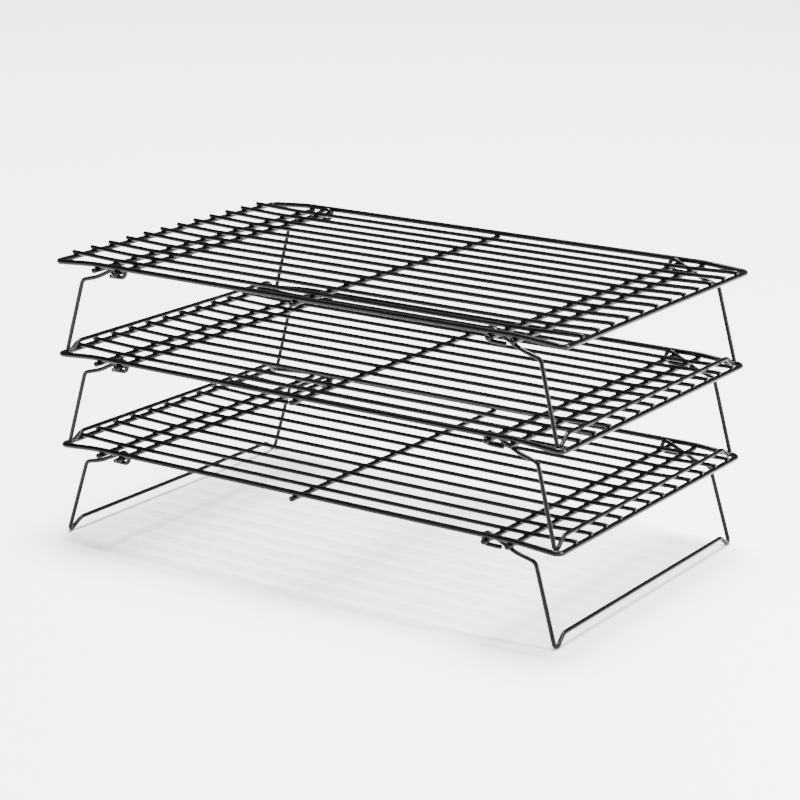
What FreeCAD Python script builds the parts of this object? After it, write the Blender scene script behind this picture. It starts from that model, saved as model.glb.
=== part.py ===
"""Stacking cooling rack of three identical wire tiers, each on two fold-under wire legs.

Frame: +Z up, +X along the length, -Y is the front. The origin is on the surface that the
stack stands on, under the middle of the rack. Every tier is one closed frame wire, five
crossbars, twelve lengthwise grid wires and two bent wire legs that hook on the inner crossbars.
"""
import FreeCAD, Part
import math
import os
from FreeCAD import Placement, Rotation, Vector

TIERS = ("bottom", "middle", "top")
GRID_WIRES = 12
LEG_ENDS = {"left": -1, "right": 1}

# alias, value in millimetres (nest_angle in degrees), meaning
DIMENSIONS = (
    ("frame_length", 400.0, "frame wire, end centre to end centre"),
    ("frame_width", 250.0, "frame wire, side centre to side centre"),
    ("frame_wire", 3.8, "frame wire diameter"),
    ("frame_corner", 5.0, "frame corner radius on the wire's centre line"),
    ("frame_droop", 2.4, "how far the frame's ends lie below its sides"),
    ("droop_start", 168.0, "where the frame's sides start to droop, from the middle"),
    ("droop_bend", 150.0, "bend radius where the droop starts"),
    ("crossbar_wire", 3.8, "crossbar diameter"),
    ("crossbar_length", 258.0, "crossbar, cut end to cut end"),
    ("inner_crossbar", 147.2, "inner crossbars, from the middle: the legs hook on these"),
    ("outer_crossbar", 164.5, "outer crossbars, from the middle: the open legs rest on these"),
    ("grid_wire", 3.0, "grid wire diameter"),
    ("grid_bend_start", 166.0, "where the grid wires start to rise to the frame's ends"),
    ("grid_bend", 200.0, "bend radius of that rise"),
    ("weld_sink", 0.1, "how far two welded wires sink into each other"),
    ("leg_wire", 3.0, "leg wire diameter"),
    ("leg_side", 120.6, "leg arms, from the middle plane to the wire's centre"),
    ("hook_gap", 0.3, "running clearance between leg hook and inner crossbar"),
    ("rest_gap", 0.15, "gap between the open leg and the outer crossbar"),
    ("hook_reach", 0.5, "centre of the hook's bend, inboard of the inner crossbar"),
    ("hook_tail", 9.4, "end of the hook's tail, outboard of the inner crossbar"),
    ("arm_bend_reach", 20.2, "slight bend in the arm, outboard of the inner crossbar"),
    ("arm_bend", 30.0, "radius of the slight bend in the arm"),
    ("knee_reach", 33.8, "knee, outboard of the inner crossbar"),
    ("knee_drop", 8.5, "knee, below the inner crossbar"),
    ("knee_bend", 5.0, "knee radius"),
    ("foot_end", 198.0, "corner of the foot tip's bend, from the middle along the length"),
    ("foot_side", 122.3, "the same corner, from the middle across the width"),
    ("foot_drop", 67.3, "the same corner, below the frame's sides"),
    ("foot_bend", 2.7, "foot tip radius"),
    ("foot_bar_rise", 8.6, "foot bar above the corner of the foot tip's bend"),
    ("foot_bar_side", 110.0, "ends of the foot bar, from the middle plane"),
    ("foot_bar_inset", 1.5, "foot bar, inboard of the foot tips along the length"),
    ("foot_bar_bend", 8.0, "bend radius at the ends of the foot bar"),
    ("nest_angle", 2.0, "degrees that the upper legs turn in, so that their tips fit the corners"),
    ("tier_pitch", 65.5, "height from one tier to the next"),
)

doc = FreeCAD.newDocument("cooling_rack")
sheet = doc.addObject("Spreadsheet::Sheet", "Dims")


def set_dimension(row, alias, value, meaning):
    """Write one row of the sheet: alias, plain number and meaning."""
    sheet.set(f"A{row}", alias)
    sheet.set(f"B{row}", f"{value:.4f}")
    sheet.setAlias(f"B{row}", alias)
    sheet.set(f"C{row}", meaning)


for row_number, dimension in enumerate(DIMENSIONS, start=1):
    set_dimension(row_number, *dimension)
doc.recompute()


def dim(alias):
    """Value of one sheet cell in millimetres."""
    return float(getattr(sheet, alias))


def corner_arc(before, corner, after, radius):
    """Start, middle and end of the arc that rounds one corner of a bent wire."""
    back = (before - corner).normalize()
    ahead = (after - corner).normalize()
    half_angle = back.getAngle(ahead) / 2
    reach = radius / math.tan(half_angle)
    towards_centre = (back + ahead).normalize()
    middle = corner + towards_centre * (radius / math.sin(half_angle) - radius)
    return corner + back * reach, middle, corner + ahead * reach


def bent_edges(corners):
    """Straight runs joined by tangent arcs, through corners given as (point, radius)."""
    edges = []
    position = corners[0][0]
    for index in range(1, len(corners) - 1):
        point, radius = corners[index]
        start, middle, end = corner_arc(corners[index - 1][0], point, corners[index + 1][0], radius)
        edges.append(Part.makeLine(position, start))
        edges.append(Part.Arc(start, middle, end).toShape())
        position = end
    edges.append(Part.makeLine(position, corners[-1][0]))
    return edges


def frame_path():
    """Closed centre line of a frame: level sides, and ends that lie a little lower."""
    end, side = dim("frame_length") / 2, dim("frame_width") / 2
    bend, droop = dim("droop_bend"), dim("frame_droop")

    def quarter(x_sign, y_sign):
        return [
            (Vector(x_sign * dim("droop_start"), y_sign * side, 0), bend),
            (Vector(x_sign * end, y_sign * side, -droop), dim("frame_corner")),
        ]

    seam = (Vector(0, -side, 0), 0)
    corners = [seam, *quarter(1, -1), *reversed(quarter(1, 1)), *quarter(-1, 1),
               *reversed(quarter(-1, -1)), seam]
    return Part.Wire(bent_edges(corners))


def grid_path():
    """Centre line of a grid wire: straight, with both ends rising onto the frame's ends."""
    end = (dim("frame_length") + dim("frame_wire")) / 2
    stack = (dim("frame_wire") + dim("grid_wire")) / 2 - dim("weld_sink")
    rise = stack - dim("frame_droop") - grid_offset()
    start, bend = dim("grid_bend_start"), dim("grid_bend")
    corners = [(Vector(-end, 0, rise), 0), (Vector(-start, 0, 0), bend),
               (Vector(start, 0, 0), bend), (Vector(end, 0, rise), 0)]
    return Part.Wire(bent_edges(corners))


def crossbar_offset():
    """Height of the crossbars' centres, measured from the centres of the frame's sides."""
    return dim("weld_sink") - (dim("frame_wire") + dim("crossbar_wire")) / 2


def grid_offset():
    """Height of the grid wires' centres where they cross the crossbars."""
    return crossbar_offset() + (dim("crossbar_wire") + dim("grid_wire")) / 2 - dim("weld_sink")


def leg_path():
    """Centre line of the right-hand leg, from hook tail to hook tail.

    Each side is a hook round the inner crossbar, an arm that passes under the outer crossbar,
    a knee, and a shank down to a pointed foot tip, from which the wire rises to the foot bar.
    """
    pivot_x, pivot_z = dim("inner_crossbar"), crossbar_offset()
    side = dim("leg_side")
    wires = (dim("crossbar_wire") + dim("leg_wire")) / 2
    hug = wires + dim("hook_gap")
    rest = wires + dim("rest_gap")
    slope = math.asin((hug + rest) / (dim("outer_crossbar") - pivot_x))
    hook_radius = hug + dim("hook_reach") * math.sin(slope) / (1 + math.cos(slope))
    hook_centre = (-dim("hook_reach"), hook_radius - hug)
    arm_normal = (math.sin(slope), math.cos(slope))
    half_bend = math.pi / 2 - slope / 2
    arm_bend_z = hug / math.cos(slope) - dim("arm_bend_reach") * math.tan(slope)

    def at(x, z, y_sign):
        return Vector(pivot_x + x, y_sign * side, pivot_z + z)

    def hook(y_sign):
        tail_end = at(dim("hook_tail"), -hug, y_sign)
        bend_start = at(hook_centre[0], -hug, y_sign)
        bend_middle = at(hook_centre[0] - hook_radius * math.sin(half_bend),
                         hook_centre[1] + hook_radius * math.cos(half_bend), y_sign)
        bend_end = at(hook_centre[0] + hook_radius * arm_normal[0],
                      hook_centre[1] + hook_radius * arm_normal[1], y_sign)
        return tail_end, bend_start, bend_middle, bend_end

    def shank(y_sign):
        foot_z = -dim("foot_drop")
        return [
            (hook(y_sign)[3], 0),
            (at(dim("arm_bend_reach"), arm_bend_z, y_sign), dim("arm_bend")),
            (at(dim("knee_reach"), -dim("knee_drop"), y_sign), dim("knee_bend")),
            (Vector(dim("foot_end"), y_sign * dim("foot_side"), foot_z), dim("foot_bend")),
            (Vector(dim("foot_end") - dim("foot_bar_inset"), y_sign * dim("foot_bar_side"),
                    foot_z + dim("foot_bar_rise")), dim("foot_bar_bend")),
        ]

    front, back = hook(-1), hook(1)
    edges = [Part.makeLine(front[0], front[1]), Part.Arc(front[1], front[2], front[3]).toShape()]
    edges += bent_edges([*shank(-1), *reversed(shank(1))])
    edges += [Part.Arc(back[3], back[2], back[1]).toShape(), Part.makeLine(back[1], back[0])]
    return Part.Wire(edges)


def lowest_point(shape):
    """Height of the lowest point of a shape, found from a level plane well below it."""
    plane_z = shape.BoundBox.ZMin - 100.0
    plane = Part.makePlane(1000, 1000, Vector(-500, -500, plane_z))
    return plane_z + shape.distToShape(plane)[0]


def add_path(name, wire):
    """Add a centre line to the document."""
    path = doc.addObject("Part::Feature", name)
    path.Shape = wire
    return path


def add_section(name, path, diameter_alias):
    """Add the round section of a wire, square across the start of its centre line."""
    first_edge = path.Shape.OrderedEdges[0]
    start = first_edge.valueAt(first_edge.FirstParameter)
    ahead = first_edge.tangentAt(first_edge.FirstParameter)
    section = doc.addObject("Part::Circle", name)
    section.setExpression("Radius", f"Dims.{diameter_alias} / 2")
    section.Placement = Placement(start, Rotation(Vector(0, 0, 1), ahead))
    return section


def place(part, expressions):
    """Bind coordinates of a sub-part's placement to the sheet."""
    for axis, expression in expressions.items():
        part.setExpression(f"Placement.Base.{axis}", expression)


def add_swept_wire(label, path, section):
    """Add one bent wire as a solid."""
    wire = doc.addObject("Part::Sweep", label)
    wire.Sections = [section]
    wire.Spine = (path, [f"Edge{number + 1}" for number in range(len(path.Shape.Edges))])
    wire.Solid = True
    wire.Frenet = False
    wire.Label = label
    return wire


def add_crossbar(label, x_expression, z_expression):
    """Add one straight crossbar, laid along Y."""
    bar = doc.addObject("Part::Cylinder", label)
    bar.Label = label
    bar.setExpression("Radius", "Dims.crossbar_wire / 2")
    bar.setExpression("Height", "Dims.crossbar_length")
    bar.Placement = Placement(Vector(), Rotation(Vector(1, 0, 0), -90))
    place(bar, {"x": x_expression, "y": "-Dims.crossbar_length / 2", "z": z_expression})
    return bar


CROSSBARS = {
    "left_outer": "-Dims.outer_crossbar",
    "left_inner": "-Dims.inner_crossbar",
    "middle": "0 mm",
    "right_inner": "Dims.inner_crossbar",
    "right_outer": "Dims.outer_crossbar",
}

frame_line = add_path("frame_centre_line", frame_path())
grid_line = add_path("grid_centre_line", grid_path())
leg_line = add_path("leg_centre_line", leg_path())
frame_section = add_section("frame_section", frame_line, "frame_wire")
grid_section = add_section("grid_section", grid_line, "grid_wire")
leg_section = add_section("leg_section", leg_line, "leg_wire")

# One height follows from the legs: the feet of the bottom tier stand on Z = 0.
side_height = dim("leg_wire") / 2 - lowest_point(leg_line.Shape)
set_dimension(len(DIMENSIONS) + 1, "side_height", side_height,
              "frame sides of the bottom tier above the floor")
doc.recompute()

CROSSBAR_Z = "Dims.weld_sink - (Dims.frame_wire + Dims.crossbar_wire) / 2"
GRID_Z = f"{CROSSBAR_Z} + (Dims.crossbar_wire + Dims.grid_wire) / 2 - Dims.weld_sink"

nodes = []
centre_lines = {}
for tier_number, tier in enumerate(TIERS):
    sides = f"Dims.side_height + {tier_number} * Dims.tier_pitch"

    frame = add_swept_wire(f"{tier}_frame", frame_line, frame_section)
    place(frame, {"z": sides})
    nodes.append(frame)
    centre_lines[frame.Label] = (frame_line, "frame_wire")

    for bar_name, bar_x in CROSSBARS.items():
        nodes.append(add_crossbar(f"{tier}_crossbar_{bar_name}", bar_x, f"{sides} + {CROSSBAR_Z}"))

    for wire_number in range(1, GRID_WIRES + 1):
        wire = add_swept_wire(f"{tier}_grid_wire_{wire_number:02d}", grid_line, grid_section)
        fraction = f"({wire_number} / {GRID_WIRES + 1} - 0.5)"
        place(wire, {"y": f"Dims.frame_width * {fraction}", "z": f"{sides} + {GRID_Z}"})
        nodes.append(wire)
        centre_lines[wire.Label] = (grid_line, "grid_wire")

    turned_in, turn = (dim("nest_angle"), "Dims.nest_angle") if tier_number else (0.0, "0")
    inward = f"Dims.inner_crossbar * (1 - cos({turn})) - ({CROSSBAR_Z}) * sin({turn})"
    for end_name, end_sign in LEG_ENDS.items():
        leg = add_swept_wire(f"{tier}_leg_{end_name}", leg_line, leg_section)
        leg.Placement = Placement(Vector(), Rotation(Vector(0, 0, 1), 90.0 - 90.0 * end_sign)
                                  * Rotation(Vector(0, 1, 0), turned_in))
        place(leg, {
            "x": f"{end_sign} * ({inward})",
            "z": f"{sides} + Dims.inner_crossbar * sin({turn}) + ({CROSSBAR_Z}) * (1 - cos({turn}))",
        })
        nodes.append(leg)
        centre_lines[leg.Label] = (leg_line, "leg_wire")

doc.recompute()

for item in doc.Objects:
    if "Invalid" in item.State or "Error" in item.State:
        raise RuntimeError(f"{item.Name} failed: {item.State}")

VOLUME_TOLERANCE = 0.01
for node in nodes:
    if node.Shape.isNull() or not node.Shape.isValid():
        raise RuntimeError(f"{node.Label} has no valid shape")
    if len(node.Shape.Solids) != 1:
        raise RuntimeError(f"{node.Label} is not one solid")
    if node.Label in centre_lines:
        line, diameter = centre_lines[node.Label]
        expected = math.pi * (dim(diameter) / 2) ** 2 * line.Shape.Length
        if abs(node.Shape.Volume / expected - 1) > VOLUME_TOLERANCE:
            raise RuntimeError(f"{node.Label} has volume {node.Shape.Volume}, not {expected}")

os.makedirs("parts", exist_ok=True)
for node in nodes:
    node.Shape.exportStep(f"parts/{node.Label}.step")

print("nodes", len(nodes))
print("side height", round(dim("side_height"), 3), "tier pitch", round(dim("tier_pitch"), 3))
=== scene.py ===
"""Looks of the stacking cooling rack: fine coated wires, weld fillets, finish, floor and light.

Every CAD wire is replaced by a smooth tube on the same centre line, with rounded cut ends.
Lengths are in metres: +Z is up, +X runs along the racks and -Y is the front.
"""
import math

import bpy
from mathutils import Matrix, Vector, noise


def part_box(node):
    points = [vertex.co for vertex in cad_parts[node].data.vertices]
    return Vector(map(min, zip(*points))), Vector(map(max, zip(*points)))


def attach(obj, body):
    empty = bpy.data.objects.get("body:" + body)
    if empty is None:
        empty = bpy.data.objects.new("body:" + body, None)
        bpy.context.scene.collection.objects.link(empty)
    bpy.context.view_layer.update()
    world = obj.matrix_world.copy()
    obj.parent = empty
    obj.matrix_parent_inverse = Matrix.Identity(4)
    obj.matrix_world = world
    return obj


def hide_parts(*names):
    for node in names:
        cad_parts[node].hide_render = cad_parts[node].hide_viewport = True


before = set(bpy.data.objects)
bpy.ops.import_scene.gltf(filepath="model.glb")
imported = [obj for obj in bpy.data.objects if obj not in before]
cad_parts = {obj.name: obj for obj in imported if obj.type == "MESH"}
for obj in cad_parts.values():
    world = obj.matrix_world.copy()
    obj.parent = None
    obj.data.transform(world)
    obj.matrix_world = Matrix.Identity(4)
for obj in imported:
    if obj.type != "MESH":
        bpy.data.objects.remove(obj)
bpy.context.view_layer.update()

TIERS = ("bottom", "middle", "top")
CROSSBARS = ("left_outer", "left_inner", "middle", "right_inner", "right_outer")
GRID_WIRES = 12

# Bends and gaps that a node's box doesn't tell.
FRAME_CORNER = 0.0050
DROOP = 0.0024
DROOP_START = 0.168
DROOP_BEND = 0.150
GRID_BEND_START = 0.166
GRID_BEND = 0.200
WELD_SINK = 0.0001
HOOK_GAP = 0.0003
REST_GAP = 0.00015
HOOK_REACH = 0.0005
HOOK_TAIL = 0.0094
LEG_WIRE_RADIUS = 0.0015
LEG_SIDE = 0.1206
ARM_BEND_REACH = 0.0202
ARM_BEND = 0.0300
KNEE_REACH = 0.0338
KNEE_DROP = 0.0085
KNEE_BEND = 0.0050
FOOT_END = 0.1980
FOOT_SIDE = 0.1223
FOOT_DROP = 0.0673
FOOT_BEND = 0.0027
FOOT_BAR_RISE = 0.0086
FOOT_BAR_SIDE = 0.1100
FOOT_BAR_INSET = 0.0015
FOOT_BAR_BEND = 0.0080
NEST_ANGLE = math.radians(2)

# Mesh fineness, and the longest piece of a straight run and of an arc.
TUBE_SIDES = 20
RUN_STEP = 0.006
ARC_STEP = math.radians(9)

# Cut ends: rings in the dome, and its height as a share of the wire's radius.
DOME_RINGS = 4
DOME_HEIGHT = 0.55

# Coating: the share of the radius that it varies by, and lumps a metre.
COATING_UNEVENNESS = 0.012
COATING_LUMP_SCALE = 90.0

# Weld fillets: the gap between the wires where the fillet ends, its waist as a share of its rim,
# and how deep the rim lies in the wires.
FILLET_GAP = 0.00060
FILLET_SIDES = 20
FILLET_RINGS = 6
FILLET_WAIST = 0.74
FILLET_BURY = 0.0002

# Finish of the coating. Noise scales are features a metre, bump depths are in metres.
COATING_DARKEST = (0.0006, 0.0007, 0.0009, 1)
COATING_LIGHTEST = (0.0018, 0.0020, 0.0026, 1)
MOTTLE_RANGE = (0.30, 0.72)
MOTTLE_SCALE = 140.0
GLOSS_RANGE = (0.3, 0.7)
GLOSS_SCALE = 420.0
GLOSS_ROUGHNESS = (0.27, 0.40)
PEEL_SCALE = 1900.0
PEEL_STRENGTH = 0.22
PEEL_DEPTH = 0.00012
GRIT_SCALE = 5200.0
GRIT_STRENGTH = 0.12
GRIT_DEPTH = 0.00004
NOISE_ROUGHNESS = 0.55
COATING_IOR = 1.5
COATING_SPECULAR = 0.10
GLAZE_WEIGHT = 0.16
GLAZE_ROUGHNESS = 0.10

# Studio.
WHITE = (1, 1, 1)
FLOOR_REACH = 12.0
FLOOR_COLOUR = (0.90, 0.90, 0.90, 1)
FLOOR_ROUGHNESS = 0.65
FLOOR_SPECULAR = 0.2
SURROUND_STRENGTH = 0.12
LIGHT_TARGET = (0, 0, 0.1)
OVERHEAD_PLACE = (-0.5, 1.2, 6.0)
OVERHEAD_SIZE = (2.6, 2.0)
OVERHEAD_WATTS = 2300.0
STRIP_PLACE = (1.5, 0.1, 0.9)
STRIP_SIZE = (0.22, 1.4)
STRIP_WATTS = 90.0
STRIP_COLOUR = (0.93, 0.96, 1.0)

# Camera: azimuth from the front towards the right, lens and sensor in millimetres.
CAMERA_AZIMUTH = math.radians(33.25)
CAMERA_ELEVATION = math.radians(15.86)
CAMERA_ROLL = math.radians(0.645)
CAMERA_DISTANCE = 1.6706
CAMERA_TARGET = (0.0002, 0.0002, 0.1004)
CAMERA_LENS = 108.52
CAMERA_SENSOR = 36.0


# ---------------------------------------------------------------- bent wire centre lines

def arc_points(centre, start, middle, end):
    """Points along the arc from start through middle to end, its two ends included."""
    radius = (start - centre).length
    first = (start - centre).normalized()
    normal = (start - centre).cross(middle - centre).normalized()
    side = normal.cross(first)
    last = end - centre
    sweep = math.atan2(last.dot(side), last.dot(first)) % math.tau
    count = max(2, math.ceil(sweep / ARC_STEP))
    angles = [sweep * i / count for i in range(count + 1)]
    return [centre + radius * (math.cos(a) * first + math.sin(a) * side) for a in angles]


def bend(before, corner, after, radius):
    """Points of the tangent arc that rounds one corner of a bent wire."""
    back = (before - corner).normalized()
    ahead = (after - corner).normalized()
    half_angle = back.angle(ahead) / 2
    reach = radius / math.tan(half_angle)
    to_centre = (back + ahead).normalized()
    centre = corner + to_centre * radius / math.sin(half_angle)
    middle = centre - to_centre * radius
    return arc_points(centre, corner + back * reach, middle, corner + ahead * reach)


def bent_line(corners):
    """Points of straight runs joined by tangent arcs, through corners given as (point, radius)."""
    points = [corners[0][0]]
    for index in range(1, len(corners) - 1):
        point, radius = corners[index]
        points += bend(corners[index - 1][0], point, corners[index + 1][0], radius)
    return points + [corners[-1][0]]


def divided(points):
    """The same line with its long runs divided evenly."""
    fine = [points[0]]
    for start, end in zip(points, points[1:]):
        count = max(1, math.ceil((end - start).length / RUN_STEP))
        fine += [start.lerp(end, i / count) for i in range(1, count + 1)]
    return fine


def frame_line(half_length, half_width, height):
    """Closed centre line of a frame, whose ends lie a little lower than its sides."""
    def quarter(x_sign, y_sign):
        side = y_sign * half_width
        return [
            (Vector((x_sign * DROOP_START, side, height)), DROOP_BEND),
            (Vector((x_sign * half_length, side, height - DROOP)), FRAME_CORNER),
        ]

    seam = (Vector((0, -half_width, height)), 0)
    corners = [seam, *quarter(1, -1), *reversed(quarter(1, 1)), *quarter(-1, 1),
               *reversed(quarter(-1, -1)), seam]
    return divided(bent_line(corners))[:-1]


def grid_line(half_length, side, low, high):
    """Centre line of a grid wire: level, with both ends rising onto the frame's ends."""
    return divided(bent_line([
        (Vector((-half_length, side, high)), 0),
        (Vector((-GRID_BEND_START, side, low)), GRID_BEND),
        (Vector((GRID_BEND_START, side, low)), GRID_BEND),
        (Vector((half_length, side, high)), 0),
    ]))


def leg_line(end_sign, pivot_x, pivot_z, bar_radius, rest_x, sides_z):
    """Centre line of a leg, from hook tail to hook tail, at the left (-1) or right (1) end."""
    hug = bar_radius + LEG_WIRE_RADIUS + HOOK_GAP
    rest = bar_radius + LEG_WIRE_RADIUS + REST_GAP
    slope = math.asin((hug + rest) / (rest_x - pivot_x))
    hook_radius = hug + HOOK_REACH * math.sin(slope) / (1 + math.cos(slope))
    hook_z = hook_radius - hug
    half_bend = (math.pi - slope) / 2
    arm_bend_z = hug / math.cos(slope) - ARM_BEND_REACH * math.tan(slope)

    def at(x, z, y_sign):
        return Vector((end_sign * (pivot_x + x), y_sign * LEG_SIDE, pivot_z + z))

    def hook(y_sign):
        return [at(HOOK_TAIL, -hug, y_sign)] + arc_points(
            at(-HOOK_REACH, hook_z, y_sign),
            at(-HOOK_REACH, -hug, y_sign),
            at(-HOOK_REACH - hook_radius * math.sin(half_bend),
               hook_z + hook_radius * math.cos(half_bend), y_sign),
            at(-HOOK_REACH + hook_radius * math.sin(slope),
               hook_z + hook_radius * math.cos(slope), y_sign))

    def shank(y_sign):
        foot_x = end_sign * FOOT_END
        foot_z = sides_z - FOOT_DROP
        return [
            (hook(y_sign)[-1], 0),
            (at(ARM_BEND_REACH, arm_bend_z, y_sign), ARM_BEND),
            (at(KNEE_REACH, -KNEE_DROP, y_sign), KNEE_BEND),
            (Vector((foot_x, y_sign * FOOT_SIDE, foot_z)), FOOT_BEND),
            (Vector((foot_x - end_sign * FOOT_BAR_INSET, y_sign * FOOT_BAR_SIDE,
                     foot_z + FOOT_BAR_RISE)), FOOT_BAR_BEND),
        ]

    middle = bent_line([*shank(-1), *reversed(shank(1))])
    return divided(hook(-1)[:-1] + middle + hook(1)[-2::-1])


# ---------------------------------------------------------------- meshes

def new_piece(name, vertices, faces):
    """A smooth-shaded mesh object."""
    mesh = bpy.data.meshes.new(name)
    mesh.from_pydata([tuple(v) for v in vertices], [], faces)
    mesh.update()
    for polygon in mesh.polygons:
        polygon.use_smooth = True
    piece = bpy.data.objects.new(name, mesh)
    bpy.context.collection.objects.link(piece)
    return piece


def coated_radius(point, radius):
    """Radius of the coated wire at a point: the baked coating is never quite even."""
    lump = noise.noise(point * COATING_LUMP_SCALE)
    return radius * (1 - COATING_UNEVENNESS * (0.5 + 0.5 * lump))


def ring_axes(tangents):
    """Two axes across the line at each of its points, carried along it without twisting."""
    across = tangents[0].orthogonal().normalized()
    axes = []
    for tangent in tangents:
        across = (across - tangent * across.dot(tangent)).normalized()
        axes.append((across.copy(), tangent.cross(across)))
    return axes


def ring(centre, axes, radius):
    """One ring of a tube's vertices."""
    angles = [math.tau * k / TUBE_SIDES for k in range(TUBE_SIDES)]
    return [centre + radius * (math.cos(a) * axes[0] + math.sin(a) * axes[1]) for a in angles]


def dome(tip, inward, axes, radius):
    """Rings of a rounded cut end, from its rim to just short of the tip."""
    depth = radius * DOME_HEIGHT
    rings = []
    for step in range(DOME_RINGS):
        angle = math.pi / 2 * step / DOME_RINGS
        centre = tip + inward * depth * (1 - math.sin(angle))
        rings.append(ring(centre, axes, radius * math.cos(angle)))
    return rings


def band(first, second, sides, twist=0):
    """Faces between the two rings of vertices that start at these indices."""
    faces = []
    for k in range(sides):
        n = (k + 1) % sides
        faces.append((first + k, first + n,
                      second + (n + twist) % sides, second + (k + twist) % sides))
    return faces


def nearest_turn(last_ring, first_ring):
    """How many places the first ring is turned against the last one, where a loop closes."""
    return min(range(TUBE_SIDES), key=lambda turn: (first_ring[turn] - last_ring[0]).length)


def tube(name, line, radius, closed=False):
    """A round wire along a centre line, with rounded cut ends unless it is closed."""
    count = len(line)
    if closed:
        tangents = [(line[(i + 1) % count] - line[i - 1]).normalized() for i in range(count)]
    else:
        tangents = [(line[min(i + 1, count - 1)] - line[max(i - 1, 0)]).normalized()
                    for i in range(count)]
    axes = ring_axes(tangents)
    rings = [ring(p, pair, coated_radius(p, radius)) for p, pair in zip(line, axes)]
    if not closed:
        head = dome(line[0], tangents[0], axes[0], radius)
        tail = dome(line[-1], -tangents[-1], axes[-1], radius)
        rings = [*reversed(head), *rings[1:-1], *tail]

    vertices = [v for one in rings for v in one]
    last_start = (len(rings) - 1) * TUBE_SIDES
    faces = []
    for start in range(0, last_start, TUBE_SIDES):
        faces += band(start, start + TUBE_SIDES, TUBE_SIDES)
    if closed:
        faces += band(last_start, 0, TUBE_SIDES, nearest_turn(rings[-1], rings[0]))
    else:
        head_tip, tail_tip = len(vertices), len(vertices) + 1
        vertices += [line[0], line[-1]]
        for k in range(TUBE_SIDES):
            n = (k + 1) % TUBE_SIDES
            faces.append((head_tip, n, k))
            faces.append((tail_tip, last_start + k, last_start + n))
    return new_piece(name, vertices, faces)


def fillet(vertices, faces, point, upper, lower):
    """Add the weld fillet between an upper wire along X and a lower one along Y.

    point is the crossing; upper and lower are (radius, height of centre). The fillet is a short
    waisted collar whose rims lie just inside the two wires.
    """
    upper_radius, upper_z = upper
    lower_radius, lower_z = lower
    reach_x = math.sqrt(FILLET_GAP * (2 * lower_radius - FILLET_GAP))
    reach_y = math.sqrt(FILLET_GAP * (2 * upper_radius - FILLET_GAP))
    base = len(vertices)
    for ring_number in range(FILLET_RINGS):
        t = ring_number / (FILLET_RINGS - 1)
        waist = 1 - (1 - FILLET_WAIST) * math.sin(math.pi * t)
        for k in range(FILLET_SIDES):
            angle = math.tau * k / FILLET_SIDES
            x, y = reach_x * math.cos(angle), reach_y * math.sin(angle)
            floor_z = lower_z + math.sqrt(lower_radius ** 2 - x ** 2) - FILLET_BURY
            roof_z = upper_z - math.sqrt(upper_radius ** 2 - y ** 2) + FILLET_BURY
            z = floor_z + (roof_z - floor_z) * t
            vertices.append(Vector((point[0] + x * waist, point[1] + y * waist, z)))
    top = base + (FILLET_RINGS - 1) * FILLET_SIDES
    for start in range(base, top, FILLET_SIDES):
        faces += band(start, start + FILLET_SIDES, FILLET_SIDES)
    faces.append(tuple(base + k for k in reversed(range(FILLET_SIDES))))
    faces.append(tuple(top + k for k in range(FILLET_SIDES)))


# ---------------------------------------------------------------- finish

def coating_material():
    """Black non-stick coating: satin, faintly mottled, with a fine orange-peel surface."""
    material = bpy.data.materials.new("black_nonstick_coating")
    material.use_nodes = True
    nodes, links = material.node_tree.nodes, material.node_tree.links
    shader = nodes["Principled BSDF"]
    place = nodes.new("ShaderNodeTexCoord")

    def noise_texture(scale, detail):
        texture = nodes.new("ShaderNodeTexNoise")
        texture.inputs["Scale"].default_value = scale
        texture.inputs["Detail"].default_value = detail
        texture.inputs["Roughness"].default_value = NOISE_ROUGHNESS
        links.new(place.outputs["Object"], texture.inputs["Vector"])
        return texture

    def bump(scale, strength, depth):
        node = nodes.new("ShaderNodeBump")
        node.inputs["Strength"].default_value = strength
        node.inputs["Distance"].default_value = depth
        links.new(noise_texture(scale, 2.0).outputs["Fac"], node.inputs["Height"])
        return node

    mottle = noise_texture(MOTTLE_SCALE, 5.0)
    tint = nodes.new("ShaderNodeValToRGB")
    stops = zip(tint.color_ramp.elements, MOTTLE_RANGE, (COATING_DARKEST, COATING_LIGHTEST))
    for stop, position, colour in stops:
        stop.position = position
        stop.color = colour
    links.new(mottle.outputs["Fac"], tint.inputs["Fac"])
    links.new(tint.outputs["Color"], shader.inputs["Base Color"])

    gloss = noise_texture(GLOSS_SCALE, 4.0)
    gloss_range = nodes.new("ShaderNodeMapRange")
    gloss_range.inputs["From Min"].default_value = GLOSS_RANGE[0]
    gloss_range.inputs["From Max"].default_value = GLOSS_RANGE[1]
    gloss_range.inputs["To Min"].default_value = GLOSS_ROUGHNESS[0]
    gloss_range.inputs["To Max"].default_value = GLOSS_ROUGHNESS[1]
    links.new(gloss.outputs["Fac"], gloss_range.inputs["Value"])
    links.new(gloss_range.outputs["Result"], shader.inputs["Roughness"])

    peel = bump(PEEL_SCALE, PEEL_STRENGTH, PEEL_DEPTH)
    grit = bump(GRIT_SCALE, GRIT_STRENGTH, GRIT_DEPTH)
    links.new(peel.outputs["Normal"], grit.inputs["Normal"])
    links.new(grit.outputs["Normal"], shader.inputs["Normal"])

    shader.inputs["IOR"].default_value = COATING_IOR
    shader.inputs["Specular IOR Level"].default_value = COATING_SPECULAR
    shader.inputs["Coat Weight"].default_value = GLAZE_WEIGHT
    shader.inputs["Coat Roughness"].default_value = GLAZE_ROUGHNESS
    shader.inputs["Coat IOR"].default_value = COATING_IOR
    return material


coating = coating_material()


def finish_piece(piece, body, *nodes):
    """Give a piece its finish and its body, and hide the CAD nodes that it stands for."""
    piece.data.materials.append(coating)
    if nodes:
        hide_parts(*nodes)
    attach(piece, body)


# ---------------------------------------------------------------- the racks

def middle_of(node):
    """Centre of a node's box."""
    low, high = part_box(node)
    return (Vector(low) + Vector(high)) / 2


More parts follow.
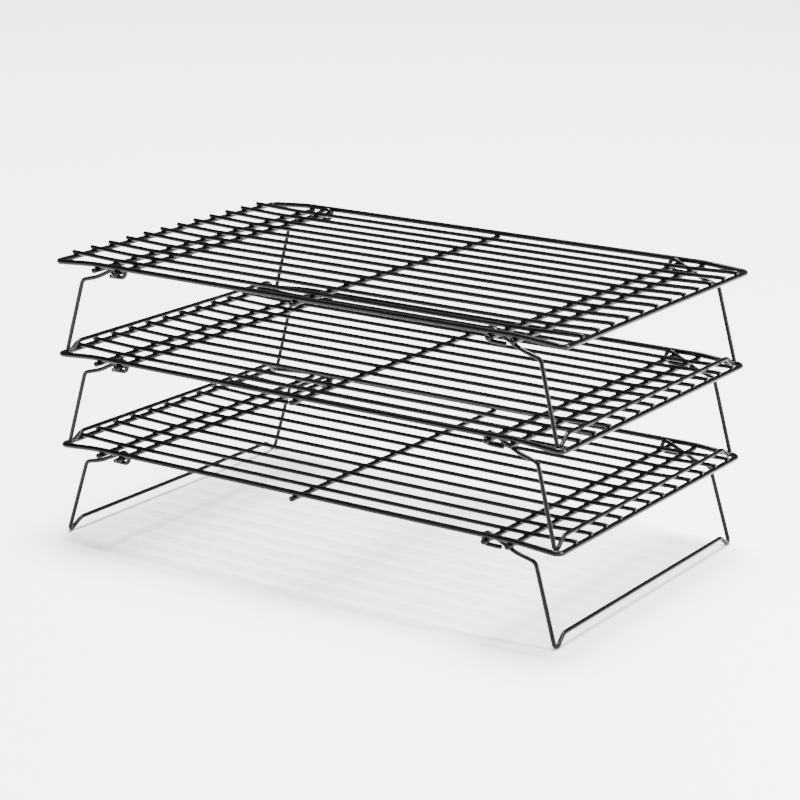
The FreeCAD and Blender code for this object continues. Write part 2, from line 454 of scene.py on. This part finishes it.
def size_of(node):
    """Size of a node's box."""
    low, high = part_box(node)
    return Vector(high) - Vector(low)


def build_rack(tier):
    """Frame, crossbars, grid wires and weld fillets of one rack."""
    body = f"{tier}_rack"
    frame_size = size_of(f"{tier}_frame")
    frame_radius = (frame_size.z - DROOP) / 2
    sides_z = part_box(f"{tier}_frame")[1][2] - frame_radius
    half_length = frame_size.x / 2 - frame_radius
    half_width = frame_size.y / 2 - frame_radius
    piece = tube(f"{tier}_frame_wire", frame_line(half_length, half_width, sides_z),
                 frame_radius, closed=True)
    finish_piece(piece, body, f"{tier}_frame")

    weld_vertices, weld_faces = [], []
    bars = []
    for name in CROSSBARS:
        node = f"{tier}_crossbar_{name}"
        centre, size = middle_of(node), size_of(node)
        radius = size.z / 2
        reach = Vector((0, size.y / 2, 0))
        piece = tube(f"{node}_wire", divided([centre - reach, centre + reach]), radius)
        finish_piece(piece, body, node)
        bars.append((centre, radius))
        for y_sign in (-1, 1):
            fillet(weld_vertices, weld_faces, (centre.x, y_sign * half_width),
                   (frame_radius, sides_z), (radius, centre.z))

    for number in range(1, GRID_WIRES + 1):
        node = f"{tier}_grid_wire_{number:02d}"
        centre, size = middle_of(node), size_of(node)
        radius = size.y / 2
        low_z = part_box(node)[0][2] + radius
        high_z = sides_z - DROOP + frame_radius + radius - WELD_SINK
        line = grid_line(half_length + frame_radius, centre.y, low_z, high_z)
        piece = tube(f"{node}_wire", line, radius)
        finish_piece(piece, body, node)
        for bar_centre, bar_radius in bars:
            fillet(weld_vertices, weld_faces, (bar_centre.x, centre.y),
                   (radius, low_z), (bar_radius, bar_centre.z))
        for x_sign in (-1, 1):
            fillet(weld_vertices, weld_faces, (x_sign * half_length, centre.y),
                   (radius, high_z), (frame_radius, sides_z - DROOP))

    welds = new_piece(f"{tier}_weld_fillets", weld_vertices, weld_faces)
    finish_piece(welds, body)
    return sides_z


def build_legs(tier, sides_z):
    """The two bent wire legs of one rack."""
    for end_name, end_sign in (("left", -1), ("right", 1)):
        pivot = middle_of(f"{tier}_crossbar_{end_name}_inner")
        bar_radius = size_of(f"{tier}_crossbar_{end_name}_inner").z / 2
        rest = middle_of(f"{tier}_crossbar_{end_name}_outer")
        line = leg_line(end_sign, abs(pivot.x), pivot.z, bar_radius, abs(rest.x), sides_z)
        if tier != TIERS[0]:
            turn = Matrix.Rotation(end_sign * NEST_ANGLE, 3, "Y")
            axis_point = Vector((pivot.x, 0, pivot.z))
            line = [axis_point + turn @ (point - axis_point) for point in line]
        leg = f"{tier}_leg_{end_name}"
        finish_piece(tube(f"{leg}_wire", line, LEG_WIRE_RADIUS), leg, leg)


for tier in TIERS:
    build_legs(tier, build_rack(tier))


# ---------------------------------------------------------------- floor, light and camera

def floor_material():
    """Plain pale paper-like floor."""
    material = bpy.data.materials.new("pale_floor")
    material.use_nodes = True
    shader = material.node_tree.nodes["Principled BSDF"]
    shader.inputs["Base Color"].default_value = FLOOR_COLOUR
    shader.inputs["Roughness"].default_value = FLOOR_ROUGHNESS
    shader.inputs["Specular IOR Level"].default_value = FLOOR_SPECULAR
    return material


def build_floor():
    """A wide level floor under the feet."""
    reach = FLOOR_REACH
    corners = [(-reach, -reach, 0), (reach, -reach, 0), (reach, reach, 0), (-reach, reach, 0)]
    floor = new_piece("floor", corners, [(0, 1, 2, 3)])
    floor.data.materials.append(floor_material())


def area_light(name, position, size, power, colour):
    """A soft rectangular light that faces the racks."""
    light = bpy.data.lights.new(name, "AREA")
    light.shape = "RECTANGLE"
    light.size, light.size_y = size
    light.energy = power
    light.color = colour
    lamp = bpy.data.objects.new(name, light)
    lamp.location = position
    facing = Vector(LIGHT_TARGET) - Vector(position)
    lamp.rotation_euler = facing.to_track_quat("-Z", "Y").to_euler()
    bpy.context.collection.objects.link(lamp)


def build_lights():
    """Dim surround, a large light overhead and a tall strip on the right."""
    world = bpy.data.worlds.new("studio")
    bpy.context.scene.world = world
    world.use_nodes = True
    background = world.node_tree.nodes["Background"]
    background.inputs["Color"].default_value = (*WHITE, 1)
    background.inputs["Strength"].default_value = SURROUND_STRENGTH
    area_light("overhead", OVERHEAD_PLACE, OVERHEAD_SIZE, OVERHEAD_WATTS, WHITE)
    area_light("right_strip", STRIP_PLACE, STRIP_SIZE, STRIP_WATTS, STRIP_COLOUR)


def build_camera():
    """Long lens from the front right, a little above the stack."""
    data = bpy.data.cameras.new("camera")
    data.sensor_width = CAMERA_SENSOR
    data.lens = CAMERA_LENS
    camera = bpy.data.objects.new("camera", data)
    level = math.cos(CAMERA_ELEVATION)
    away = Vector((math.sin(CAMERA_AZIMUTH) * level, -math.cos(CAMERA_AZIMUTH) * level,
                   math.sin(CAMERA_ELEVATION)))
    right = Vector((math.cos(CAMERA_AZIMUTH), math.sin(CAMERA_AZIMUTH), 0))
    up = away.cross(right)
    rolled_right = math.cos(CAMERA_ROLL) * right + math.sin(CAMERA_ROLL) * up
    rolled_up = math.cos(CAMERA_ROLL) * up - math.sin(CAMERA_ROLL) * right
    rotation = Matrix((rolled_right, rolled_up, away)).transposed().to_4x4()
    place = Vector(CAMERA_TARGET) + away * CAMERA_DISTANCE
    camera.matrix_world = Matrix.Translation(place) @ rotation
    bpy.context.collection.objects.link(camera)
    bpy.context.scene.camera = camera


build_floor()
build_lights()
build_camera()
